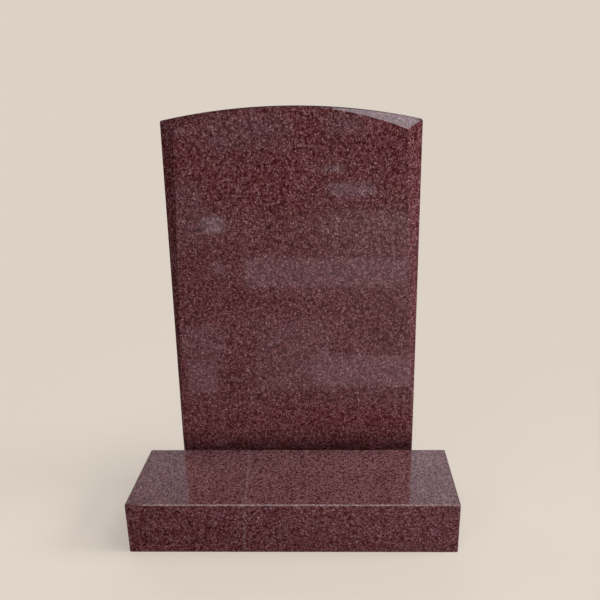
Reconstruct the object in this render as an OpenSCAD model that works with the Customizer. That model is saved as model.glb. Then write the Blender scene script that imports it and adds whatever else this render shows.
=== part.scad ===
// Granite headstone: a splayed tablet with a cambered top, set in the rear
// check of a polished base, on a mortar bed and two dowels.
// Millimetres, +Z up, front towards -Y, origin at the middle of the footprint.

/* [Base] */
// Width of the base, side to side
base_w = 900; // [700:10:1400]
// Depth of the base's top, from its front to the tablet
front_d = 300; // [150:10:450]
// Height of the base
base_h = 150; // [110:5:250]
// Depth of the check below the base's top, in which the tablet stands
check_h = 60; // [30:5:80]
// Strip of the ledge that shows behind the tablet
back_margin = 12; // [6:1:60]

/* [Tablet] */
// Width of the tablet, side to side
tablet_w = 700; // [450:10:900]
// Height of the tablet's crown over the base's top
crown_h = 1000; // [600:10:1500]
// Thickness of the tablet
tablet_t = 80; // [60:5:150]
// Fall of the cambered top, from its crown to its ends
camber = 36; // [12:1:150]

/* [Splays] */
// Width of each side splay on the face, at its top end
splay_w = 45; // [15:1:90]
// Depth of the splays into the tablet's thickness, at the top corners
splay_d = 45; // [15:1:55]
// Fall of the top splay from the top, at the corners
splay_fall = 40; // [15:1:80]

/* [Edges] */
// Width of the small arrises on the square edges
arris = 3; // [1:0.5:5]

/* [Fixing] */
// Thickness of the mortar bed under the tablet and of the pointing before it
joint = 3; // [2:0.5:8]
// Depth that the top of the pointing lies below the base's top
pointing_recess = 3; // [0:0.5:6]
// Diameter of each dowel
dowel_d = 16; // [10:1:20]
// Distance between the two dowels
dowel_spacing = 400; // [150:10:420]
// Depth that each dowel reaches into the ledge
dowel_in_base = 55; // [25:5:70]
// Depth that each dowel reaches into the tablet
dowel_in_tablet = 80; // [40:5:150]
// Gap between a dowel and the wall of its socket
socket_gap = 1; // [0.5:0.5:2]
// Spare depth of the tablet's sockets over the dowels
socket_spare = 5; // [2:1:15]

/* [Hidden] */

granite = "#6e4346";
mortar = "#8d8780";
sealant = "#3f2c2d";
steel = "#b8bcc0";

// Facets that stand for a full turn of a curve, in the two sizes of curve here
camber_fn = 720;
dowel_fn = 64;
// Distance that a cutter runs past what it cuts
past = 10;

// Levels and planes that the pieces share
base_d = front_d + joint + tablet_t + back_margin;
front_y = -base_d / 2;
back_y = base_d / 2;
riser_y = front_y + front_d;
ledge_z = base_h - check_h;
face_y = riser_y + joint;
rear_y = face_y + tablet_t;
foot_z = ledge_z + joint;
crown_z = base_h + crown_h;
end_z = crown_z - camber;
half_w = tablet_w / 2;
dowel_y = face_y + tablet_t / 2;
dowel_z = ledge_z - dowel_in_base;
dowel_l = dowel_in_base + joint + dowel_in_tablet;
socket_d = dowel_d + 2 * socket_gap;

// Radius of an arc that falls by `rise` from its middle over half a chord
function arc_radius(half_chord, rise) = (half_chord ^ 2 + rise ^ 2) / (2 * rise);

// The camber is an arc across the tablet's whole width
camber_r = arc_radius(half_w, camber);

// The top splay is a round surface whose crown line climbs back into the stone
splay_slope = atan(splay_fall / splay_d);
splay_sag = (camber + splay_fall) * cos(splay_slope);
splay_r = arc_radius(half_w, splay_sag);

// A side splay is a plane that leaves the front edge at the base's top
splay_rise = end_z - base_h;
splay_turn = atan2(-splay_w, splay_d);
splay_tilt = atan2(splay_w * splay_d, splay_rise * norm([splay_w, splay_d]));

// Square bar along +X that cuts an arris where its middle runs along an edge
module arris_bar(length) {
    rotate([90, 0, 90])
        linear_extrude(length)
            rotate(45)
                square(arris * sqrt(2), center = true);
}

// Arris bars along the two edges that mirror each other in X
module both_ends() {
    children();
    mirror([1, 0, 0]) children();
}

// Bores on the two dowels' lines, from the height `from_z` up
module dowel_bores(from_z, depth) {
    both_ends()
        translate([dowel_spacing / 2, dowel_y, from_z])
            cylinder(d = socket_d, h = depth, $fn = dowel_fn);
}

// Side view of the base, with arrises on the edges that run along X
module base_profile() {
    polygon([
        [front_y, 0],
        [front_y, base_h - arris],
        [front_y + arris, base_h],
        [riser_y - arris, base_h],
        [riser_y, base_h - arris],
        [riser_y, ledge_z],
        [back_y - arris, ledge_z],
        [back_y, ledge_z - arris],
        [back_y, 0]
    ]);
}

// Arrises on the +X end of the base: two upright edges and two level ones
module base_end_arrises() {
    for (y = [front_y, back_y])
        translate([base_w / 2, y, -past])
            rotate([0, -90, 0])
                arris_bar(base_h + 2 * past);
    translate([base_w / 2, front_y - past, base_h])
        rotate([0, 0, 90])
            arris_bar(front_d + past);
    translate([base_w / 2, riser_y, ledge_z])
        rotate([0, 0, 90])
            arris_bar(base_d - front_d + past);
}

module base() {
    color(granite)
        difference() {
            translate([-base_w / 2, 0, 0])
                rotate([90, 0, 90])
                    linear_extrude(base_w)
                        base_profile();
            both_ends() base_end_arrises();
            dowel_bores(dowel_z, dowel_in_base + past);
        }
}

// Round disc whose rim is the camber, with arrises on its front and rear rims
module camber_disc() {
    translate([0, rear_y, crown_z - camber_r])
        rotate([90, 0, 0])
            rotate_extrude($fn = camber_fn)
                polygon([
                    [0, 0],
                    [camber_r - arris, 0],
                    [camber_r, arris],
                    [camber_r, tablet_t - arris],
                    [camber_r - arris, tablet_t],
                    [0, tablet_t]
                ]);
}

// Straight block of the tablet, with arrises on its four upright edges
module tablet_block() {
    translate([0, 0, foot_z])
        linear_extrude(crown_h + check_h)
            polygon([
                [-half_w + arris, face_y],
                [half_w - arris, face_y],
                [half_w, face_y + arris],
                [half_w, rear_y - arris],
                [half_w - arris, rear_y],
                [-half_w + arris, rear_y],
                [-half_w, rear_y - arris],
                [-half_w, face_y + arris]
            ]);
}

// What the side splay takes off the +X edge of the face
module side_splay() {
    reach = 2 * splay_rise;
    translate([half_w, face_y, base_h])
        rotate([0, -splay_tilt, splay_turn])
            translate([0, -reach / 2, -reach / 2])
                cube([splay_w + splay_d, reach, reach]);
}

// What the top splay takes off: all that lies above a sloping round surface
module top_splay() {
    zone_h = 2 * (camber + splay_fall);
    difference() {
        translate([-half_w - past, face_y - past, crown_z - zone_h])
            cube([tablet_w + 2 * past, tablet_t + 2 * past, zone_h + past]);
        translate([0, face_y, crown_z])
            rotate([splay_slope - 90, 0, 0])
                translate([0, splay_r, 0])
                    cylinder(r = splay_r, h = 2 * splay_r, center = true, $fn = camber_fn);
    }
}

module tablet() {
    color(granite)
        difference() {
            intersection() {
                tablet_block();
                camber_disc();
            }
            both_ends() side_splay();
            top_splay();
            both_ends()
                translate([half_w, face_y - past, end_z])
                    rotate([0, 0, 90])
                        arris_bar(tablet_t + 2 * past);
            dowel_bores(foot_z - past, past + dowel_in_tablet + socket_spare);
        }
}

// Bed between the ledge and the foot of the tablet
module mortar_bed() {
    color(mortar)
        difference() {
            translate([-half_w, riser_y, ledge_z])
                cube([tablet_w, joint + tablet_t, joint]);
            dowel_bores(ledge_z - past, joint + 2 * past);
        }
}

// Sealant between the riser of the check and the foot of the face
module pointing() {
    color(sealant)
        translate([-half_w, riser_y, foot_z])
            cube([tablet_w, joint, check_h - joint - pointing_recess]);
}

module dowel() {
    color(steel)
        translate([dowel_spacing / 2, dowel_y, dowel_z])
            cylinder(d = dowel_d, h = dowel_l, $fn = dowel_fn);
}

module dowel_left() {
    mirror([1, 0, 0]) dowel();
}

module dowel_right() {
    dowel();
}

base();
tablet();
mortar_bed();
pointing();
dowel_left();
dowel_right();
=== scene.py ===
"""Looks of the granite headstone: dark red polished granite, its joints, a pale studio and the camera."""
import math

import bpy
import bmesh
from mathutils import Matrix, Vector, noise


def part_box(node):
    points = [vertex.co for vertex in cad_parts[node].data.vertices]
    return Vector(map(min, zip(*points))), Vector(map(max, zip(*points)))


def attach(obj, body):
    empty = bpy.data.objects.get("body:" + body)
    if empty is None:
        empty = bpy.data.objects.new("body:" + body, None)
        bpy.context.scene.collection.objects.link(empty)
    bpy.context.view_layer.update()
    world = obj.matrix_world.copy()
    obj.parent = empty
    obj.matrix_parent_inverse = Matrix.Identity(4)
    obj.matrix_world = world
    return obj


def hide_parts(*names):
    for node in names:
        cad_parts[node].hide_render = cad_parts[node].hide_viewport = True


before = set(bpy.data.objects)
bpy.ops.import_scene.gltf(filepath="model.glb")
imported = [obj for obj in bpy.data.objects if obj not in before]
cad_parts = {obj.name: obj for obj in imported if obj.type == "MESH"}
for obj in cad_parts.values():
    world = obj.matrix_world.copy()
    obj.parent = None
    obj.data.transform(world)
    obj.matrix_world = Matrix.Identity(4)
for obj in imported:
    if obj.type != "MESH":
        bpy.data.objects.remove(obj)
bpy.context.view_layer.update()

MM = 0.001
BODY = "root"

# Corners of the pieces' boxes, and the levels and planes that the pieces share
base_low, base_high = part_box("base")
bed_low, bed_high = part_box("mortar_bed")
pointing_low, pointing_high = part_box("pointing")
BASE_TOP = base_high.z
LEDGE_Z = bed_low.z
RISER_Y = pointing_low.y
FACE_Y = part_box("tablet")[0].y

# Colours of the granite. All colours here are linear red, green and blue.
FELDSPAR = [(0.0, (0.061, 0.0110, 0.0125)), (0.5, (0.095, 0.0285, 0.0315)), (1.0, (0.156, 0.066, 0.072))]
QUARTZ = (0.058, 0.011, 0.013)
MICA = (0.040, 0.0045, 0.0055)
FLECK = (0.212, 0.112, 0.124)
# Share of the granite's red, green and blue that the painted shade at the tablet's foot leaves
FOOT_SHADE_SHARE = (0.33, 0.29, 0.29)
# Colours that the granite turns towards where it is dusty and lightened by painted light, under the painted
# streak of light, where its bruised arrises carry a painted highlight, and where it is sawn
DUST_AND_LIGHT = (0.31, 0.175, 0.18)
STREAK_LIGHT = (0.36, 0.31, 0.31)
BRUISED_AND_HIGHLIGHT = (0.30, 0.20, 0.205)
SAWN = (0.30, 0.20, 0.20)

# Crystals to a metre in the three overlaid patterns of the grain, and how far their edges are bent
CRYSTAL_SCALES = (330.0, 290.0, 430.0)
CRYSTAL_BEND = 2.5 * MM
# Distance of the painted streak of light from the middle, to the left
STREAK_LEFT = 0.149
# Parts along the sealant's bead and across its hollow, and the length of one part along the mortar's edge
BEAD_PARTS = 175
HOLLOW_PARTS = 6
MORTAR_STEP = 4 * MM
# Shares of the joint's height, each with how far the mortar's edge reaches past the bed there, in mm
MORTAR_EDGE = [(0.0, 1.8), (0.2, 0.9), (0.5, 0.1), (0.8, -0.5), (1.0, -0.8)]

# The studio as the camera sees it. The lamps light the floor unevenly, and the two gains even that out.
BACKDROP = (0.716, 0.638, 0.558)
FLOOR_COLOUR = (0.65, 0.579, 0.506)
LEFT_GAIN = 1.12
RIGHT_GAIN = 0.84
FLOOR_RADIUS = 30.0
FLOOR_SIDES = 96
# The floor as the polish shows it, at the left and at the right
DIM_LEFT = (0.09, 0.08, 0.072)
DIM_RIGHT = (0.32, 0.30, 0.28)
# Tints of the pale cards that lie on it, near the stone and far off
CARD_NEAR = (1.0, 0.70, 0.84)
CARD_FAR = (0.82, 0.90, 1.0)
# Softness of a card's edges, for each metre of its distance
CARD_BLUR = 0.014
# Colours of the world's light, and of a lamp's
SKY = (0.79, 0.96, 1.08)
WHITE = (1.0, 1.0, 1.0)
BLUISH = (0.97, 1.06, 1.15)

# Where the camera stands and how it is turned, in radians, from a fit to the photograph
EYE = Vector((0.1158, FACE_Y - 1.9094, BASE_TOP + 1.0650))
PITCH = 0.3532
YAW = -0.0135
ROLL = -0.0073
# What the lamps are aimed at
MIDDLE = (0.0, 0.0, 0.6)
FOOT = (0.0, -0.05, 0.15)
TOP_SPLAY = (0.25, 0.13, 1.13)

# Pale things that the polish of the face mirrors, given by where the camera finds them on the face: the left
# and the right side, the low and the high edge over the base's top, and a brightness. Most of the places were
# read off the photograph, and all of them are rounded to 5 mm.
MIRRORED = [
    (0.04, 0.36, 0.21, 0.31, 0.78),  # low right
    (-0.12, 0.10, 0.20, 0.42, 0.30),  # low middle
    (-0.32, -0.23, 0.19, 0.30, 0.65),  # low left
    (-0.33, -0.20, 0.31, 0.405, 0.40),  # left, over the last
    (-0.09, 0.32, 0.515, 0.60, 0.68),  # band across the middle
    (-0.14, -0.08, 0.515, 0.60, 0.85),  # left end of that band
    (-0.23, -0.19, 0.55, 0.59, 0.60),  # spot left of the band
    (-0.25, -0.19, 0.67, 0.715, 1.60),  # bright spot, left
    (0.10, 0.22, 0.77, 0.805, 0.95),  # patch, upper right
    (0.09, 0.135, 0.835, 0.85, 1.60),  # streak over that patch
    (-0.315, -0.24, 0.65, 0.81, 0.25),  # left edge
    (0.09, 0.46, 0.61, 0.75, 0.10),  # right, over the band, and past the edge
    (-0.235, 0.0, 0.89, 0.985, 0.25),  # upper left
    (-0.335, -0.26, 0.93, 0.96, 0.35),  # top left corner
    (0.09, 0.19, 0.93, 0.98, 0.40),  # top right
]


# ---------------------------------------------------------------- node helpers

class Nodes:
    """A material's or world's node tree, with short calls to add and join nodes."""

    def __init__(self, tree):
        self.tree = tree
        tree.nodes.clear()

    def add(self, kind, inputs=(), **settings):
        """A new node. Its inputs are given in order, or by name or number in a dict."""
        node = self.tree.nodes.new(kind)
        for name, value in settings.items():
            setattr(node, name, value)
        if not isinstance(inputs, dict):
            inputs = dict(enumerate(inputs))
        for name, value in inputs.items():
            self.put(node.inputs[name], value)
        return node

    def put(self, socket, value):
        """Joins a node or a socket to the socket, or sets it to a number, a vector or a colour."""
        if isinstance(value, bpy.types.NodeSocket):
            self.tree.links.new(value, socket)
        elif isinstance(value, bpy.types.Node):
            self.tree.links.new(value.outputs[0], socket)
        elif socket.type == "RGBA":
            socket.default_value = (*value, 1.0)
        else:
            socket.default_value = value

    def math(self, operation, a, b=0.0, c=0.0, clamp=False):
        return self.add("ShaderNodeMath", (a, b, c), operation=operation, use_clamp=clamp).outputs[0]

    def times(self, product, *factors):
        for factor in factors:
            product = self.math("MULTIPLY", product, factor)
        return product

    def above(self, value, limit):
        return self.math("GREATER_THAN", value, limit)

    def below(self, value, limit):
        return self.math("LESS_THAN", value, limit)

    def spread(self, value, from_low, from_high, to_low=0.0, to_high=1.0, kind="LINEAR"):
        """The value, moved from one range to another and kept within it."""
        numbers = (value, from_low, from_high, to_low, to_high)
        return self.add("ShaderNodeMapRange", numbers, interpolation_type=kind, clamp=True).outputs[0]

    def soft(self, value, from_low, from_high):
        """0 below the range, 1 above it, and a smooth rise between."""
        return self.spread(value, from_low, from_high, kind="SMOOTHSTEP")

    def mix(self, factor, a, b, blend="MIX"):
        inputs = {0: factor, 6: a, 7: b}
        return self.add("ShaderNodeMix", inputs, data_type="RGBA", blend_type=blend).outputs[2]

    def ramp(self, factor, stops):
        node = self.add("ShaderNodeValToRGB", (factor,))
        elements = node.color_ramp.elements
        while len(elements) < len(stops):
            elements.new(1.0)
        for element, (place, colour) in zip(elements, stops):
            element.position = place
            element.color = (*colour, 1.0)
        return node.outputs[0]

    def combine(self, red, green, blue):
        return self.add("ShaderNodeCombineColor", (red, green, blue)).outputs[0]

    def parts(self, colour):
        """The red, green and blue of a colour."""
        return self.add("ShaderNodeSeparateColor", (colour,)).outputs

    def axes(self, vector):
        """The X, Y and Z of a vector."""
        return self.add("ShaderNodeSeparateXYZ", (vector,)).outputs

    def place(self):
        """Where the shaded point is on the piece."""
        return self.add("ShaderNodeTexCoord").outputs["Object"]

    def stretch(self, vector, scales):
        return self.add("ShaderNodeMapping", {"Vector": vector, "Scale": scales}).outputs[0]

    def noise(self, vector, scale, detail=2.0, rough=0.5, what="Fac"):
        inputs = {"Vector": vector, "Scale": scale, "Detail": detail, "Roughness": rough}
        return self.add("ShaderNodeTexNoise", inputs).outputs[what]

    def cells(self, vector, scale, what="Color"):
        return self.add("ShaderNodeTexVoronoi", {"Vector": vector, "Scale": scale}).outputs[what]

    def bump(self, height, strength, distance):
        """The surface's direction, tilted as if the height stood out of it."""
        return self.add("ShaderNodeBump", {"Height": height, "Strength": strength, "Distance": distance})

    def principled(self, inputs):
        """Makes the tree a plain surface with the given inputs."""
        self.add("ShaderNodeOutputMaterial", {"Surface": self.add("ShaderNodeBsdfPrincipled", inputs)})


def new_material(name):
    material = bpy.data.materials.new(name)
    material.use_nodes = True
    return material, Nodes(material.node_tree)


# ------------------------------------------------------------------- materials

def grain(n, place):
    """Colour of the stone at a place: red feldspar with smoky quartz, black mica and a few pale flecks.

    Gives also where the mica is, and a number from 0 to 1 that each crystal has by chance.
    """
    wobble = n.noise(place, 230.0, what="Color")
    bend = (CRYSTAL_BEND, CRYSTAL_BEND, CRYSTAL_BEND)
    bent = n.add("ShaderNodeVectorMath", (wobble, bend, place), operation="MULTIPLY_ADD")
    crystal, dark, pale = (n.parts(n.cells(bent, scale)) for scale in CRYSTAL_SCALES)
    quartz = n.above(crystal["Green"], 0.74)
    mica = n.above(dark["Red"], 0.76)
    fleck = n.above(pale["Blue"], 0.93)
    colour = n.ramp(crystal["Red"], FELDSPAR)
    colour = n.mix(quartz, colour, QUARTZ)
    colour = n.mix(mica, colour, MICA)
    colour = n.mix(fleck, colour, FLECK)

    fine = n.spread(n.noise(place, 900.0, 3.0, 0.6), 0.3, 0.7, 0.80, 1.20)
    cloud = n.spread(n.noise(place, 6.0, 4.0, 0.6), 0.3, 0.7, 0.88, 1.08)
    clump = n.spread(n.cells(bent, 115.0, "Distance"), 0.2, 0.9, 1.64, 0.34)
    warm = n.spread(n.noise(place, 22.0, 3.0, 0.6), 0.3, 0.7, 0.93, 1.05)
    tone = n.times(fine, cloud, clump)
    tint = n.combine(n.math("MULTIPLY_ADD", tone, 0.62, 0.365), tone, n.times(tone, warm))
    return n.mix(1.0, colour, tint, "MULTIPLY"), mica, crystal["Blue"]


def painted_foot_shade(n, axes, facing, place):
    """1 where shade is painted dark on the tablet's foot, just over what it stands in, and 0 above an uneven
    edge.
    """
    front = n.below(facing["Y"], -0.3)
    ground = n.math("MULTIPLY_ADD", front, BASE_TOP - LEDGE_Z, LEDGE_Z)
    uneven = n.spread(n.noise(place, 14.0, 4.0, 0.6), 0.3, 0.7, -12 * MM, 12 * MM)
    height = n.math("ADD", n.math("SUBTRACT", axes["Z"], ground), uneven)
    low = n.math("POWER", n.spread(height, 4 * MM, 90 * MM, 1.0, 0.0), 1.5)
    behind_riser = n.above(axes["Y"], RISER_Y)
    over_ledge = n.above(axes["Z"], LEDGE_Z + 1 * MM)
    return n.times(low, n.times(behind_riser, over_ledge))


def sawn_faces(n, axes, facing):
    """1 on the faces that are bedded or stood on, which nobody polishes: undersides and the ledge."""
    under = n.below(facing["Z"], -0.5)
    ledge = n.times(n.above(facing["Z"], 0.9), n.below(axes["Z"], LEDGE_Z + 1 * MM))
    return n.math("MAXIMUM", under, ledge)


def bruised_edges_and_highlight(n, place, normal):
    """How bruised the stone is along the arrises, which also paints a highlight there: 0 on open faces, up to
    1 in uneven stretches along the arrises.
    """
    rounded = n.add("ShaderNodeBevel", {"Radius": 2 * MM}, samples=4)
    match = n.add("ShaderNodeVectorMath", (rounded, normal), operation="DOT_PRODUCT")
    near = n.spread(match.outputs["Value"], 0.985, 0.999, 1.0, 0.0)
    return n.times(near, n.spread(n.noise(place, 90.0, 4.0, 0.6), 0.35, 0.65, 0.25, 1.0))


def dust_and_painted_light(n, axes, facing, place):
    """How much dust and painted light lie on the stone: a thin speckled film on the level faces that also
    lightens them as painted light, thicker towards the back, where it paints light into the tablet's shade on
    the base's top.
    """
    film = n.spread(n.noise(place, 18.0, 5.0, 0.65), 0.35, 0.7, 0.09, 0.18)
    specks = n.spread(n.noise(place, 165.0, 3.0, 0.7), 0.46, 0.60, 0.0, 3.0)
    thicker = n.spread(axes["Y"], base_low.y, RISER_Y, 0.75, 1.35)
    level = n.spread(facing["Z"], 0.8, 1.0)
    return n.times(film, thicker, specks, level)


def painted_light_streak(n, axes, place):
    """A faint broken line of painted light over the top and the front of the base, left of the middle, along
    a slanting plane.
    """
    lean = n.math("MULTIPLY_ADD", axes["Y"], 0.07, axes["X"])
    lean = n.math("MULTIPLY_ADD", axes["Z"], -0.06, lean)
    off = n.math("ABSOLUTE", n.math("ADD", lean, STREAK_LEFT))
    line = n.times(n.spread(off, 1 * MM, 5 * MM, 1.0, 0.0), n.below(axes["Y"], RISER_Y))
    return n.times(line, n.spread(n.noise(place, 130.0, 3.0, 0.6), 0.4, 0.65))


def granite(name):
    """Polished dark red granite, cut through the same solid texture on every face."""
    material, n = new_material(name)
    place = n.place()
    normal = n.add("ShaderNodeNewGeometry").outputs["Normal"]
    axes = n.axes(place)
    facing = n.axes(normal)
    colour, mica, chance = grain(n, place)
    sawn = sawn_faces(n, axes, facing)
    bruised_and_lit = bruised_edges_and_highlight(n, place, normal)

    # Painted shade: the tablet's foot is darkened where it meets the base.
    colour = n.mix(painted_foot_shade(n, axes, facing, place), colour, n.mix(1.0, colour, FOOT_SHADE_SHARE, "MULTIPLY"))
    # Dust and painted light: the level faces are lightened, most towards the back, where the tablet shades
    # the base's top.
    colour = n.mix(dust_and_painted_light(n, axes, facing, place), colour, DUST_AND_LIGHT)
    # Painted light: a thin lighter streak, as a blade of light would fall.
    colour = n.mix(n.times(painted_light_streak(n, axes, place), 0.30), colour, STREAK_LIGHT)
    # Bruised arrises, lightened also as a painted highlight.
    colour = n.mix(n.times(bruised_and_lit, 0.30), colour, BRUISED_AND_HIGHLIGHT)
    colour = n.mix(n.times(sawn, 0.45), colour, SAWN)

    rough = n.math("MULTIPLY_ADD", chance, 0.02, 0.02)
    rough = n.math("MULTIPLY_ADD", mica, 0.05, rough)
    rough = n.math("MULTIPLY_ADD", bruised_and_lit, 0.18, rough)
    rough = n.math("MULTIPLY_ADD", sawn, 0.60, rough, clamp=True)

    saw_lines = n.noise(n.stretch(place, (30.0, 900.0, 30.0)), 1.0, 3.0)
    height = n.math("MULTIPLY_ADD", mica, -0.02, n.times(sawn, saw_lines))
    relief = n.bump(height, 0.6, 0.5 * MM)
    n.principled({"Base Color": colour, "Roughness": rough, "IOR": 1.54, "Normal": relief})
    return material


def cement(name):
    """Grey bedding mortar with sand in it."""
    material, n = new_material(name)
    place = n.place()
    sand = n.parts(n.cells(place, 1400.0))["Red"]
    colour = n.ramp(sand, [(0.0, (0.16, 0.15, 0.13)), (0.6, (0.27, 0.25, 0.22)), (1.0, (0.42, 0.39, 0.34))])
    patches = n.spread(n.noise(place, 45.0, 4.0), 0.3, 0.7, 0.75, 1.1)
    colour = n.mix(1.0, colour, n.combine(patches, patches, patches), "MULTIPLY")
    relief = n.bump(n.noise(place, 1100.0, 3.0), 0.8, 0.3 * MM)
    n.principled({"Base Color": colour, "Roughness": 0.92, "Normal": relief})
    return material


def sealant(name):
    """Dark red joint sealant, tooled smooth, with dusty patches in it."""
    material, n = new_material(name)
    place = n.place()
    dusty = n.spread(n.noise(place, 60.0, 4.0, 0.6), 0.45, 0.75, 0.0, 0.35)
    colour = n.mix(dusty, (0.030, 0.012, 0.013), (0.16, 0.13, 0.12))
    rough = n.spread(n.noise(place, 140.0, 3.0), 0.3, 0.7, 0.35, 0.6)
    relief = n.bump(n.noise(place, 420.0), 0.4, 0.2 * MM)
    n.principled({"Base Color": colour, "Roughness": rough, "Normal": relief})
    return material


def stainless(name):
    """Stainless bar, drawn along its length and ribbed for the resin."""
    material, n = new_material(name)
    place = n.place()
    drawn = n.noise(n.stretch(place, (1500.0, 1500.0, 40.0)), 1.0, 4.0)
    colour = n.ramp(drawn, [(0.3, (0.42, 0.42, 0.43)), (0.7, (0.62, 0.62, 0.63))])
    rough = n.spread(drawn, 0.3, 0.7, 0.22, 0.42)
    ribs = n.add("ShaderNodeTexWave", {"Vector": place, "Scale": 38.0}, bands_direction="Z")
    relief = n.bump(ribs.outputs["Fac"], 0.8, 0.6 * MM)
    n.principled({"Base Color": colour, "Metallic": 1.0, "Roughness": rough, "Normal": relief})
    return material


# ---------------------------------------------------------------------- pieces

def dress(node_name, material):
    """Puts the material on a CAD node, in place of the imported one."""
    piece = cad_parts[node_name]
    piece.data.materials.clear()
    piece.data.materials.append(material)


def wander(x, y, z, size):
    """A smooth number from -1 to 1 that changes over about the given size, always the same at one place."""
    return noise.noise(Vector((x, y, z)) / size)


def skin(name, rings, material, node_name):
    """Adds a closed mesh through rings of points, capped at both ends, that stands for a CAD node."""
    form = bmesh.new()
    rows = [[form.verts.new(point) for point in ring] for ring in rings]
    count = len(rows[0])
    for below, above in zip(rows, rows[1:]):
        for i in range(count):
            j = (i + 1) % count
            form.faces.new((below[i], below[j], above[j], above[i]))
    form.faces.new(reversed(rows[0]))
    form.faces.new(rows[-1])
    bmesh.ops.recalc_face_normals(form, faces=form.faces)
    for face in form.faces:
        face.smooth = len(face.verts) == 4
    mesh = bpy.data.meshes.new(name)
    form.to_mesh(mesh)
    form.free()
    mesh.materials.append(material)
    piece = bpy.data.objects.new(name, mesh)
    bpy.context.scene.collection.objects.link(piece)
    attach(piece, BODY)
    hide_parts(node_name)


def pointing_bead(material):
    """Adds the sealant's bead along the foot of the face, tooled hollow between riser and tablet."""
    length = pointing_high.x - pointing_low.x
    width = pointing_high.y - pointing_low.y
    across = [i / HOLLOW_PARTS for i in range(HOLLOW_PARTS + 1)]
    rings = []
    for i in range(BEAD_PARTS + 1):
        x = pointing_low.x + length * i / BEAD_PARTS
        hollow = (0.9 + 0.5 * wander(x, 0.0, 0.0, 18 * MM)) * MM
        level = pointing_high.z + 0.4 * MM * wander(x, 1.0, 0.0, 45 * MM)
        top = [(x, pointing_low.y + width * t, level - 4 * hollow * t * (1 - t)) for t in across]
        rings.append([(x, pointing_high.y, pointing_low.z), (x, pointing_low.y, pointing_low.z)] + top)
    skin("pointing_bead", rings, material, "pointing")


def bed_outline():
    """Points round the bed's edge at even steps, each with the direction that leads out of the bed there."""
    middle = (bed_low + bed_high) / 2
    half = (bed_high - bed_low) / 2
    corners = [(-1, -1), (1, -1), (1, 1), (-1, 1)]
    outline = []
    for start, end in zip(corners, corners[1:] + corners[:1]):
        first = Vector((middle.x + start[0] * half.x, middle.y + start[1] * half.y))
        run = Vector(((end[0] - start[0]) * half.x, (end[1] - start[1]) * half.y))
        out = Vector((run.y, -run.x)).normalized()
        count = max(2, round(run.length / MORTAR_STEP))
        outline += [(first + run * i / count, out) for i in range(count)]
    return outline


def mortar_joint(material):
    """Adds the bed under the tablet, with an uneven edge where the mortar was squeezed out and struck off."""
    outline = bed_outline()
    rings = []
    for share, spill in MORTAR_EDGE:
        z = bed_low.z + (bed_high.z - bed_low.z) * share
        ring = []
        for point, out in outline:
            lump = 1.2 * wander(point.x, point.y, z, 14 * MM) + 0.8 * wander(point.x, point.y, 1.0, 60 * MM)
            place = point + out * (spill * (1 + 0.5 * lump) + 0.6 * lump) * MM
            ring.append((place.x, max(place.y, bed_low.y), z))
        rings.append(ring)
    skin("mortar_joint", rings, material, "mortar_bed")


# ------------------------------------------------------------ studio and camera

def mirrored_spot(x, height):
    """The place on the floor that the face mirrors to the camera, at x and a height over the base's top."""
    mirrored_eye = Vector((EYE.x, 2 * FACE_Y - EYE.y, EYE.z))
    way = Vector((x, FACE_Y, BASE_TOP + height)) - mirrored_eye
    return mirrored_eye - way * EYE.z / way.z


def card(n, axes, left, right, low, high):
    """1 in the patch of floor that the face mirrors there and 0 outside it, with softer edges further off."""
    near_left = mirrored_spot(left, low)
    near_right = mirrored_spot(right, low)
    far_left = mirrored_spot(left, high)
    far_right = mirrored_spot(right, high)
    share = n.spread(axes["Y"], near_left.y, far_left.y)
    left_side = n.math("MULTIPLY_ADD", share, far_left.x - near_left.x, near_left.x)
    right_side = n.math("MULTIPLY_ADD", share, far_right.x - near_right.x, near_right.x)
    from_left = n.math("SUBTRACT", axes["X"], left_side)
    from_right = n.math("SUBTRACT", right_side, axes["X"])
    from_near = n.math("SUBTRACT", near_left.y, axes["Y"])
    from_far = n.math("SUBTRACT", axes["Y"], far_left.y)
    blur = CARD_BLUR * abs(near_left.y)
    across = n.soft(n.math("MINIMUM", from_left, from_right), -blur, blur)
    return n.times(across, n.soft(n.math("MINIMUM", from_near, from_far), -blur, blur))


def floor_colour(n, axes, close, seen):
    """The floor's colour: pale and even to the camera, and dim in the polish, dimmest close to the stone."""
    left, right = (tuple(gain * part for part in FLOOR_COLOUR) for gain in (LEFT_GAIN, RIGHT_GAIN))
    even = n.mix(n.spread(axes["X"], -0.8, 0.75), left, right)
    dim = n.mix(n.spread(axes["X"], -0.4, 1.1), DIM_LEFT, DIM_RIGHT)
    # Painted shade: close to the stone the floor that the polish shows is darkened, as shaded ground.
    dim = n.mix(n.times(close, 0.85), dim, (0.0, 0.0, 0.0))
    return n.mix(seen, dim, even)


def floor_cards(n, axes, close, seen):
    """The light of the pale cards on the floor, which the camera doesn't see."""
    pale = n.times(close, n.spread(axes["X"], -0.30, 0.45, 0.0, 0.15))
    for *place_on_face, bright in MIRRORED:
        pale = n.math("MAXIMUM", pale, n.times(card(n, axes, *place_on_face), bright))
    tint = n.mix(n.spread(axes["Y"], -1.0, -6.0), CARD_NEAR, CARD_FAR)
    unseen = n.math("SUBTRACT", 1.0, seen)
    return n.add("ShaderNodeEmission", {"Color": tint, "Strength": n.times(pale, unseen)})


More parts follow.
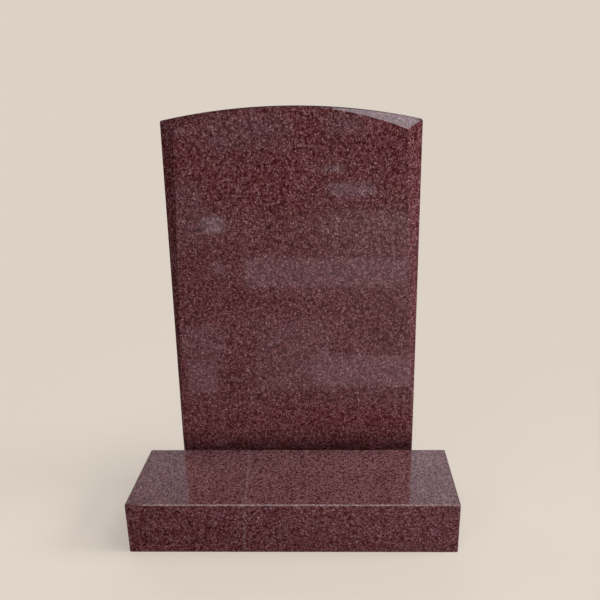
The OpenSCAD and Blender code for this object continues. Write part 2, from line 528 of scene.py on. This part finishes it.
def floor_material():
    """Pale floor that melts into the backdrop far off, and takes the stone's shadow near it."""
    material, n = new_material("studio_floor")
    seen = n.add("ShaderNodeLightPath").outputs["Is Camera Ray"]
    place = n.place()
    axes = n.axes(place)
    close = n.spread(axes["Y"], -0.60, -0.25)
    ground = n.add("ShaderNodeBsdfDiffuse", {"Color": floor_colour(n, axes, close, seen)})
    lit = n.add("ShaderNodeAddShader", (ground, floor_cards(n, axes, close, seen)))
    flat = n.add("ShaderNodeEmission", {"Color": BACKDROP, "Strength": 1.0})
    away = n.add("ShaderNodeVectorMath", (place,), operation="LENGTH").outputs["Value"]
    flatness = n.times(n.spread(away, 0.4, 1.8, 0.5, 1.0, "SMOOTHSTEP"), seen)
    n.add("ShaderNodeOutputMaterial", {"Surface": n.add("ShaderNodeMixShader", (flatness, lit, flat))})
    return material


def studio_floor():
    """Adds the floor, a wide disc round the stone."""
    turns = [math.tau * i / FLOOR_SIDES for i in range(FLOOR_SIDES)]
    rim = [(FLOOR_RADIUS * math.cos(turn), FLOOR_RADIUS * math.sin(turn), 0.0) for turn in turns]
    mesh = bpy.data.meshes.new("studio_floor")
    mesh.from_pydata(rim, [], [tuple(range(FLOOR_SIDES))])
    mesh.materials.append(floor_material())
    floor = bpy.data.objects.new("studio_floor", mesh)
    bpy.context.scene.collection.objects.link(floor)


def studio_world():
    """Pale to the camera. As light and in the polish it is dim, but for a bright part of the sky behind."""
    world = bpy.data.worlds.new("studio_world")
    bpy.context.scene.world = world
    world.use_nodes = True
    n = Nodes(world.node_tree)
    seen = n.add("ShaderNodeLightPath").outputs["Is Camera Ray"]
    toward = n.axes(n.add("ShaderNodeTexCoord").outputs["Generated"])
    behind = n.times(n.soft(toward["Y"], 0.45, 0.8), n.soft(toward["Z"], 0.08, 0.40))
    right = n.soft(toward["X"], -0.3, 0.2)
    glow = n.math("MULTIPLY_ADD", behind, n.math("MULTIPLY_ADD", right, 0.31, 0.36), 0.03)
    light = n.add("ShaderNodeBackground", {"Color": SKY, "Strength": glow})
    pale = n.add("ShaderNodeBackground", {"Color": BACKDROP, "Strength": 1.0})
    n.add("ShaderNodeOutputWorld", {"Surface": n.add("ShaderNodeMixShader", (seen, light, pale))})


def softbox(name, place, target, width, height, radiance, colour=WHITE, mirrored=False):
    """Adds a soft area lamp of the given radiance, aimed at the target.

    A mirrored one is there for the polish alone, and the others are never seen in it.
    """
    lamp = bpy.data.lights.new(name, "AREA")
    lamp.shape = "RECTANGLE"
    lamp.size = width
    lamp.size_y = height
    lamp.energy = radiance * math.pi * width * height
    lamp.color = colour
    thing = bpy.data.objects.new(name, lamp)
    thing.location = place
    thing.rotation_euler = (Vector(target) - Vector(place)).to_track_quat("-Z", "Y").to_euler()
    thing.visible_camera = False
    thing.visible_glossy = mirrored
    thing.visible_diffuse = not mirrored
    bpy.context.scene.collection.objects.link(thing)


def studio_lamps():
    """Adds the lamps: five in front, beside and above, two behind, and two for the polish alone."""
    softbox("front_softbox", (0.5, -4.8, 1.0), MIDDLE, 3.0, 1.4, 6.5)
    softbox("left_softbox", (-2.6, -4.0, 1.7), MIDDLE, 1.8, 1.8, 9.4)
    softbox("right_softbox", (1.7, -1.6, 1.2), FOOT, 1.0, 1.0, 6.8)
    softbox("far_right_softbox", (4.6, -0.1, 3.2), FOOT, 2.0, 2.0, 19.5)
    softbox("high_softbox", (3.0, -1.0, 6.5), FOOT, 2.5, 2.5, 6.6)
    softbox("back_left_softbox", (-3.0, 3.0, 2.4), MIDDLE, 1.8, 1.8, 4.5)
    softbox("back_softbox", (0.3, 4.4, 0.9), MIDDLE, 2.6, 1.2, 12.0)
    softbox("overhead_softbox", (1.14, 0.5, 3.7), TOP_SPLAY, 2.5, 1.3, 2.55, BLUISH, mirrored=True)
    softbox("arris_softbox", (0.1, -2.2, 3.2), MIDDLE, 3.0, 0.4, 2.6, mirrored=True)


def camera():
    """Adds the camera, a little right of the stone's middle and above its crown."""
    data = bpy.data.cameras.new("camera")
    data.sensor_width = 36.0
    data.lens = 42.22
    data.shift_x = -0.0437
    data.shift_y = 0.0645
    thing = bpy.data.objects.new("camera", data)
    turned = Matrix.Rotation(-YAW, 4, "Z")
    tilted = Matrix.Rotation(math.pi / 2 - PITCH, 4, "X")
    rolled = Matrix.Rotation(ROLL, 4, "Z")
    thing.matrix_world = Matrix.Translation(EYE) @ (turned @ tilted @ rolled)
    bpy.context.scene.collection.objects.link(thing)
    bpy.context.scene.camera = thing


polished = granite("polished_granite")
dress("base", polished)
dress("tablet", polished)
steel = stainless("stainless_steel")
dress("dowel_left", steel)
dress("dowel_right", steel)
pointing_bead(sealant("joint_sealant"))
mortar_joint(cement("cement_mortar"))

studio_floor()
studio_world()
studio_lamps()
camera()
bpy.context.scene.view_settings.view_transform = "Standard"
